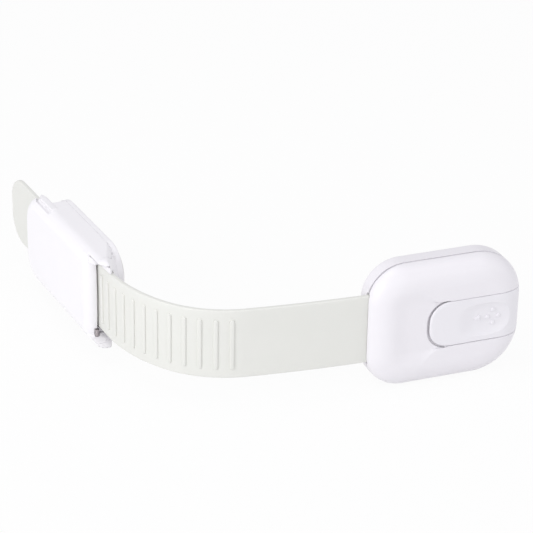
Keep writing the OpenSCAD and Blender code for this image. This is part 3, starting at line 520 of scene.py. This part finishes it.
class Finish:
    """One material and the nodes that make it."""

    def __init__(self, name):
        self.material = bpy.data.materials.new(name)
        self.material.use_nodes = True
        self.tree = self.material.node_tree
        self.tree.nodes.clear()
        self.place = self.node("ShaderNodeTexCoord", {}, {}, "Object")

    def node(self, kind, settings, inputs, output=0):
        made = self.tree.nodes.new(kind)
        for key, value in settings.items():
            setattr(made, key, value)
        for key, value in inputs.items():
            if isinstance(value, Value):
                self.tree.links.new(value.socket, made.inputs[key])
            else:
                made.inputs[key].default_value = value
        return Value(self, made.outputs[output])

    def noise(self, scale, detail):
        return self.node("ShaderNodeTexNoise", {}, {"Vector": self.place, "Scale": scale, "Detail": detail})

    def mix(self, share, a, b):
        return self.node("ShaderNodeMix", {"data_type": "RGBA"}, {0: share, 6: (*a, 1), 7: (*b, 1)}, 2)

    def bump(self, height, strength, distance):
        return self.node("ShaderNodeBump", {}, {"Strength": strength, "Distance": distance, "Height": height})

    def surface(self, **inputs):
        shader = self.node("ShaderNodeBsdfPrincipled", {}, {k.replace("_", " "): v for k, v in inputs.items()})
        self.finish(shader)
        return self.material

    def finish(self, shader):
        out = self.tree.nodes.new("ShaderNodeOutputMaterial")
        self.tree.links.new(shader.socket, out.inputs["Surface"])


def moulded_plastic(name, light, dark, rough, grain, gloss):
    f = Finish(name)
    flow, fine = f.noise(scale=60, detail=3), f.noise(scale=2600, detail=2)
    return f.surface(Base_Color=f.mix(flow, light, dark), Roughness=rough + 0.10*fine + 0.05*flow,
                     Normal=f.bump(fine, strength=grain, distance=0.00002),
                     Coat_Weight=gloss, Coat_Roughness=0.12)


def strap_plastic(name, light, dark):
    f = Finish(name)
    cloud, fine = f.noise(scale=110, detail=3), f.noise(scale=3200, detail=2)
    return f.surface(Base_Color=f.mix(cloud, light, dark), Roughness=0.40 + 0.14*fine,
                     Normal=f.bump(fine, strength=0.12, distance=0.00003))


def foam(name, wall, cell):
    f = Finish(name)
    cells = f.node("ShaderNodeTexVoronoi", {}, {"Vector": f.place, "Scale": 2300.0}, "Distance")
    return f.surface(Base_Color=f.mix(cells, wall, cell), Roughness=0.8 - 0.15*cells,
                     Normal=f.bump(cells, strength=0.4, distance=0.0001))


def metal(name, colour, rough):
    f = Finish(name)
    streak, fine = f.noise(scale=900, detail=2), f.noise(scale=4000, detail=2)
    dull = tuple(0.85*c for c in colour)
    return f.surface(Base_Color=f.mix(streak, dull, colour), Metallic=1.0, Roughness=rough + 0.15*fine,
                     Normal=f.bump(fine, strength=0.15, distance=0.00002))


shell_white = moulded_plastic("white_shell", (0.85, 0.83, 0.865), (0.835, 0.815, 0.85), 0.30, 0.05, 0.2)
# A lighter copy of the shell's white for the buckle: painted light, standing in for the stronger light that falls on
# the buckle
buckle_lit_white = moulded_plastic("buckle_lit_white", (0.895, 0.88, 0.905), (0.88, 0.865, 0.89), 0.30, 0.05, 0.2)
button_white = moulded_plastic("button_white", (0.845, 0.83, 0.865), (0.83, 0.815, 0.85), 0.34, 0.08, 0.1)
inner_plastic = moulded_plastic("inner_plastic", (0.72, 0.72, 0.71), (0.66, 0.66, 0.65), 0.45, 0.15, 0.0)
strap_rubber = strap_plastic("strap_rubber", (0.775, 0.775, 0.74), (0.75, 0.755, 0.715))
foam_white = foam("foam", (0.72, 0.72, 0.70), (0.84, 0.84, 0.82))
steel = metal("steel", (0.68, 0.68, 0.70), 0.25)
# Darker steel for the hinge pins: partly the pins' own metal, partly painted shade for the shadowed corner at the
# buckle's mouth
pin_steel_painted_shade = metal("pin_steel_painted_shade", (0.52, 0.48, 0.49), 0.45)
spring_steel = metal("spring_steel", (0.60, 0.60, 0.62), 0.22)

NODE_FINISH = {"head_chassis": inner_plastic, "latch_slider": inner_plastic, "strap_clamp": inner_plastic,
               "chassis_screws": steel, "button_screws": steel, "clamp_screws": steel, "hinge_pins": pin_steel_painted_shade}
for node, material in NODE_FINISH.items():
    mesh = frame["nodes"][node].data
    mesh.materials.clear()
    mesh.materials.append(material)


# Mouldings
def place_piece(obj, body, node):
    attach(obj, body)
    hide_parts(node)


HEAD_LOW, HEAD_HIGH = (-HEAD_L/2, -HEAD_H/2), (HEAD_L/2, HEAD_H/2)
SLIDE_LOW, SLIDE_HIGH = (-6.2, -6.8, 1.8), (22.6, 6.8, COVER)
BUCKLE_LOW, BUCKLE_HIGH = (-BUCKLE_L/2, -TAB_FACE), (BUCKLE_L/2, TAB_FACE)
LID_HIGH = (HINGE_X + LID_EAR_R, TAB_FACE, FACE)
PLATE_LOW = (-PLATE_L/2, -TAB_FACE, PLATE_BACK)
DOOR_PAD, CABINET_PAD = (20, 16), (21, 11)
HEAD_STEP, TRAY_STEP, SLIDE_STEP, BUCKLE_STEP, PAD_STEP = 0.26, 0.28, 0.16, 0.26, 0.35

place_piece(moulding("cover_shell", head_cover, (*HEAD_LOW, 0), (*HEAD_HIGH, COVER),
                     HEAD_STEP, from_head, shell_white),
            "lock_head", "head_cover")
place_piece(moulding("base_tray", lock_base, (*HEAD_LOW, -BASE), (*HEAD_HIGH, LIP_H),
                     TRAY_STEP, from_head, shell_white),
            "lock_base", "lock_base")
place_piece(moulding("release_slide", slide_button, SLIDE_LOW, SLIDE_HIGH,
                     SLIDE_STEP, from_head, button_white),
            "release_button", "slide_button")
place_piece(moulding("lid_shell", buckle_lid, (*BUCKLE_LOW, LID_FOOT), LID_HIGH,
                     BUCKLE_STEP, from_buckle, buckle_lit_white),
            "buckle_lid", "buckle_lid")
place_piece(moulding("buckle_body", buckle_base, PLATE_LOW, (*BUCKLE_HIGH, FACE),
                     BUCKLE_STEP, from_buckle, buckle_lit_white),
            "buckle", "buckle_base")
place_piece(moulding("door_foam", door_foam, (-DOOR_PAD[0], -DOOR_PAD[1], -BASE - PAD_T), (*DOOR_PAD, -BASE),
                     PAD_STEP, from_head, foam_white),
            "lock_base", "door_pad")
place_piece(moulding("cabinet_foam", cabinet_foam, (-CABINET_PAD[0], -CABINET_PAD[1], PLATE_BACK - PAD_T),
                     (*CABINET_PAD, PLATE_BACK), PAD_STEP, from_buckle, foam_white),
            "buckle", "cabinet_pad")


# Strap
def loft(rings):
    """Points and faces of a closed tube through rings of equal count, with capped ends."""
    count, ends = len(rings[0]), len(rings) - 1
    faces = [list(range(count))[::-1], [ends*count + k for k in range(count)]]
    for i in range(ends):
        for k in range(count):
            a, b = i*count + k, i*count + (k + 1) % count
            faces.append([a, b, b + count, a + count])
    return np.concatenate(rings), faces


def strap_section(half, thick, edge):
    """Outline of the band, up and outward, with rounded edges and points along its flats."""
    ring = []
    for sy, sn, a0 in ((1, 1, 0), (-1, 1, 90), (-1, -1, 180), (1, -1, 270)):
        for a in np.radians(a0 + np.linspace(0, 90, 6)):
            ring.append((sy*(half - edge) + edge*math.cos(a), sn*(thick - edge) + edge*math.sin(a)))
        if sn == sy:
            ring += [(sy*(half - edge)*q, sn*thick) for q in np.linspace(1, -1, 14)[1:-1]]
    return np.array(ring)


def round_off(r, end):
    """How far a rounded end of radius r stands back at this distance from its tip."""
    return r - math.sqrt(r**2 - max(r - end, 0)**2)


STRAP_TOTAL = sum(length for length, _ in RUNS)
closing = np.sin(np.linspace(0, 1, 30)*math.pi/2)
stations = np.unique(np.concatenate([
    BAND_EDGE*(1 - closing[::-6]), np.arange(BAND_EDGE + 0.2, STRAP_TOTAL - TAIL_R - 0.2, BAND_STEP),
    STRAP_TOTAL - TAIL_R*(1 - closing), STRAP_TOTAL - BAND_EDGE*(1 - closing[::4])]))
rings = []
for s in stations:
    end = STRAP_TOTAL - s
    tuck = round_off(BAND_EDGE, min(end, s))
    section = strap_section(STRAP_W/2 - round_off(TAIL_R, end) - tuck, STRAP_T/2 - tuck, BAND_EDGE - 0.9*tuck)
    (px, py), a = strap_at(s)
    rings.append(np.stack([px - math.sin(a)*section[:, 1], py - math.cos(a)*section[:, 1], section[:, 0]], 1))
band = mesh_object("strap_band", *loft(rings), strap_rubber)
bend_from = (*(strap_at(RIM)[0]*MM), 0)
bend_to = (*(strap_at(RIM + sum(length for length, _ in RUNS[1:-1]))[0]*MM), 0)
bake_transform(band)
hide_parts("strap")


# Geometry Nodes: ribs along the strap, grip dots and springs
class Tree:
    """A geometry node tree with named inputs."""

    def __init__(self, name, **inputs):
        self.tree = bpy.data.node_groups.new(name, "GeometryNodeTree")
        face = self.tree.interface
        face.new_socket("Geometry", in_out="INPUT", socket_type="NodeSocketGeometry")
        face.new_socket("Geometry", in_out="OUTPUT", socket_type="NodeSocketGeometry")
        self.ids = {}
        for key, kind in inputs.items():
            self.ids[key] = face.new_socket(key, in_out="INPUT", socket_type="NodeSocket" + kind).identifier
        self.given = self.tree.nodes.new("NodeGroupInput").outputs

    def node(self, kind, settings=None, **inputs):
        made = self.tree.nodes.new(kind)
        for key, value in (settings or {}).items():
            setattr(made, key, value)
        for key, value in inputs.items():
            socket = made.inputs[int(key[1:]) if key[0] == "_" else key.replace("_", " ")]
            if isinstance(value, bpy.types.NodeSocket):
                self.tree.links.new(value, socket)
            else:
                socket.default_value = value
        return made.outputs

    def run(self, carrier, name, shape, **values):
        """Ends the tree, puts it on a carrier, and returns its result as a plain object."""
        solid = self.node("GeometryNodeRealizeInstances", Geometry=shape)[0]
        smooth = self.node("GeometryNodeSetShadeSmooth", Geometry=solid)[0]
        dressed = self.node("GeometryNodeSetMaterial", Geometry=smooth, Material=self.given["Finish"])[0]
        out = self.tree.nodes.new("NodeGroupOutput")
        self.tree.links.new(dressed, out.inputs["Geometry"])
        modifier = carrier.modifiers.new(name, "NODES")
        modifier.node_group = self.tree
        for key, value in values.items():
            modifier[self.ids[key]] = value
        bpy.context.view_layer.update()
        made = bpy.data.meshes.new_from_object(carrier.evaluated_get(bpy.context.evaluated_depsgraph_get()))
        made.name = name
        bpy.data.objects.remove(carrier)
        obj = bpy.data.objects.new(name, made)
        scene.collection.objects.link(obj)
        return obj


def hidden_mesh(name, points, edges=(), faces=()):
    mesh = bpy.data.meshes.new(name)
    mesh.from_pydata((np.asarray(points, float)*MM).tolist(), [list(e) for e in edges], [list(f) for f in faces])
    obj = bpy.data.objects.new(name, mesh)
    scene.collection.objects.link(obj)
    return obj


def domed(name, outline, levels):
    """A raised mark: an outline function of inset, drawn in level by level and closed."""
    points, faces = loft([np.array([(x, y, n) for x, y in outline(inset)]) for n, inset in levels])
    return hidden_mesh(name, points, faces=faces)


def rib_outline(inset):
    r = RIB_W/2 - inset
    turns = np.radians(np.linspace(0, 180, 9))
    top = [(r*math.cos(a), (RIB_L - RIB_W)/2 + r*math.sin(a)) for a in turns]
    return top + [(-x, -y) for x, y in top]


def dot_outline(inset):
    r = DOT_R - inset
    return [(r*math.cos(a), r*math.sin(a)) for a in np.radians(np.arange(0, 360, 15))]


RIB_LEVELS = ((-0.3, 0), (0.22, 0.02), (0.34, 0.08), (0.41, 0.19), (RIB_H, 0.36))
DOT_LEVELS = ((-0.3, 0), (0.12, 0.02), (0.22, 0.1), (0.28, 0.24), (0.3, 0.42))

rib = domed("rib", rib_outline, [(STRAP_T/2 + n, inset) for n, inset in RIB_LEVELS])
path_points = [(*strap_at(s)[0], 0) for s in np.arange(0, STRAP_TOTAL, RIB_PATH_STEP)]
carrier = hidden_mesh("rib_path", path_points, [(i, i + 1) for i in range(len(path_points) - 1)])
ribs = Tree("ribs_along_strap", Rib="Object", Count="Int", Pitch="Float", Start="Float", Finish="Material")
curve = ribs.node("GeometryNodeMeshToCurve", Mesh=ribs.given["Geometry"])["Curve"]
index = ribs.node("GeometryNodeInputIndex")["Index"]
along = ribs.node("ShaderNodeMath", {"operation": "MULTIPLY_ADD"},
                  _0=index, _1=ribs.given["Pitch"], _2=ribs.given["Start"])[0]
sample = ribs.node("GeometryNodeSampleCurve", {"mode": "LENGTH", "use_all_curves": True}, Curves=curve, Length=along)
outward = ribs.node("ShaderNodeVectorMath", {"operation": "CROSS_PRODUCT"}, _0=(0, 0, 1), _1=sample["Tangent"])[0]
turn = ribs.node("FunctionNodeAxesToRotation", {"primary_axis": "Z", "secondary_axis": "Y"},
                 _0=outward, _1=(0, 0, 1))[0]
points = ribs.node("GeometryNodePoints", Count=ribs.given["Count"], Position=sample["Position"])[0]
shape = ribs.node("GeometryNodeObjectInfo", Object=ribs.given["Rib"])["Geometry"]
placed = ribs.node("GeometryNodeInstanceOnPoints", Points=points, Instance=shape, Rotation=turn)[0]
strap_ribs = ribs.run(carrier, "strap_ribs", placed, Rib=rib, Count=RIB_COUNT, Pitch=RIB_PITCH*MM,
                      Start=(RIM + RIB_START)*MM, Finish=strap_rubber)
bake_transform(strap_ribs)
bpy.data.objects.remove(rib)

dot = domed("dot", dot_outline, DOT_LEVELS)
dot_places = [(DOTS_X + dx, dy, SCOOP_FACE) for dx, dy in ((DOT_DX, 0), (-DOT_DX, 0), (0, DOT_DZ), (0, -DOT_DZ))]
turned, shift = from_head(np.array(dot_places))
carrier = hidden_mesh("dot_places", turned + shift)
dots = Tree("grip_dots", Dot="Object", Finish="Material")
shape = dots.node("GeometryNodeObjectInfo", Object=dots.given["Dot"])["Geometry"]
placed = dots.node("GeometryNodeInstanceOnPoints", Points=dots.given["Geometry"], Instance=shape,
                   Rotation=(math.pi/2, 0, 0))[0]
grip_dots = dots.run(carrier, "grip_dots", placed, Dot=dot, Finish=button_white)
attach(grip_dots, "release_button")
bpy.data.objects.remove(dot)

for name, side in (("upper", 1), ("lower", -1)):
    coil = Tree("spring_" + name, Turns="Float", Radius="Float", Length="Float", Wire="Float", Place="Vector",
                Finish="Material")
    spiral = coil.node("GeometryNodeCurveSpiral", Resolution=28, Rotations=coil.given["Turns"],
                       Start_Radius=coil.given["Radius"], End_Radius=coil.given["Radius"],
                       Height=coil.given["Length"])[0]
    wire = coil.node("GeometryNodeCurvePrimitiveCircle", Resolution=10, Radius=coil.given["Wire"])[0]
    tube = coil.node("GeometryNodeCurveToMesh", Curve=spiral, Profile_Curve=wire, Fill_Caps=True)[0]
    laid = coil.node("GeometryNodeTransform", Geometry=tube, Translation=coil.given["Place"],
                     Rotation=(0, math.pi/2, 0))[0]
    at = ((SPRING_X + WIRE/2)*MM, (SEAM_Y - SPRING_N)*MM, side*SPRING_UP*MM)
    spring = coil.run(hidden_mesh("spring_" + name, [(0, 0, 0)]), "spring_" + name, laid, Turns=TURNS,
                      Radius=(SPRING_D - WIRE)/2*MM, Length=(SPRING_L - WIRE)*MM, Wire=WIRE/2*MM, Place=at,
                      Finish=spring_steel)
    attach(spring, "lock_head")
    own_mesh(spring)
    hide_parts("return_spring_" + name)

# Floor and light: the camera and gloss see a white floor, and other rays a pale matt one that keeps the shadow
FLOOR_HALF, FLOOR_GAP, FLOOR_GLOW = 4000, 0.05, 0.93
floor_finish = Finish("studio_floor")
path = floor_finish.tree.nodes.new("ShaderNodeLightPath")
seen = Value(floor_finish, path.outputs["Is Camera Ray"])
for ray in ("Is Glossy Ray", "Is Transmission Ray"):
    seen = seen.math("MAXIMUM", seen, Value(floor_finish, path.outputs[ray]))
matt = floor_finish.node("ShaderNodeBsdfDiffuse", {}, {"Color": (0.86, 0.86, 0.86, 1)})
glow = floor_finish.node("ShaderNodeEmission", {}, {"Color": (1, 1, 1, 1), "Strength": 1.0})
floor_finish.finish(floor_finish.node("ShaderNodeMixShader", {}, {0: FLOOR_GLOW*seen, 1: matt, 2: glow}))
floor_corners = [(FLOOR_HALF*x, FLOOR_HALF*y, -HEAD_H/2 - FLOOR_GAP) for x, y in ((-1, -1), (1, -1), (1, 1), (-1, 1))]
floor = mesh_object("floor", floor_corners, [(0, 1, 2, 3)], floor_finish.material)

world = bpy.data.worlds.new("studio")
scene.world = world
world.use_nodes = True
sky = world.node_tree.nodes["Background"].inputs
sky["Color"].default_value = (0.97, 0.97, 1.0, 1)
sky["Strength"].default_value = 0.67


def soft_box(name, at, aim, size, power):
    light = bpy.data.lights.new(name, "AREA")
    light.shape, light.size, light.energy = "DISK", size, power
    obj = bpy.data.objects.new(name, light)
    obj.location = at
    obj.rotation_mode = "QUATERNION"
    obj.rotation_quaternion = (Vector(aim) - Vector(at)).to_track_quat("-Z", "Y")
    scene.collection.objects.link(obj)


MIDDLE, BUCKLE_SPOT = (-0.03, 0.01, 0), (-0.1, 0.05, 0)
soft_box("left_box", (-0.9, -0.35, 0.35), MIDDLE, size=0.7, power=3.9)
soft_box("front_box", (0.1, -1.0, 0.5), MIDDLE, size=0.8, power=1.25)
soft_box("top_strip", (0.3, -0.42, 0.84), MIDDLE, size=0.25, power=0.26)
soft_box("right_box", (0.8, -0.5, 0.3), MIDDLE, size=0.7, power=0.85)
soft_box("buckle_box", (-0.14, 0.02, 0.32), BUCKLE_SPOT, size=0.2, power=0.17)

# Camera: image width and focal length in pixels, sensor in millimetres
IMAGE, FOCAL, SENSOR = 533, 2226, 36
azimuth, elevation, roll, distance = math.radians(-21.39), math.radians(26), math.radians(1.01), 0.6
aim = Vector((-0.04345, 0.0141, 0.01262))
level = math.cos(elevation)
back = Vector((math.sin(azimuth)*level, -math.cos(azimuth)*level, math.sin(elevation)))
right = Vector((math.cos(azimuth), math.sin(azimuth), 0))
up = back.cross(right)
right, up = right*math.cos(roll) + up*math.sin(roll), up*math.cos(roll) - right*math.sin(roll)
camera = bpy.data.cameras.new("camera")
camera.sensor_width, camera.lens = SENSOR, FOCAL/IMAGE*SENSOR
camera.clip_start, camera.clip_end = 0.01, 20
stand = bpy.data.objects.new("camera", camera)
scene.collection.objects.link(stand)
pose = Matrix((right, up, back)).transposed().to_4x4()
pose.translation = aim + back*distance
stand.matrix_world = pose
scene.camera = stand
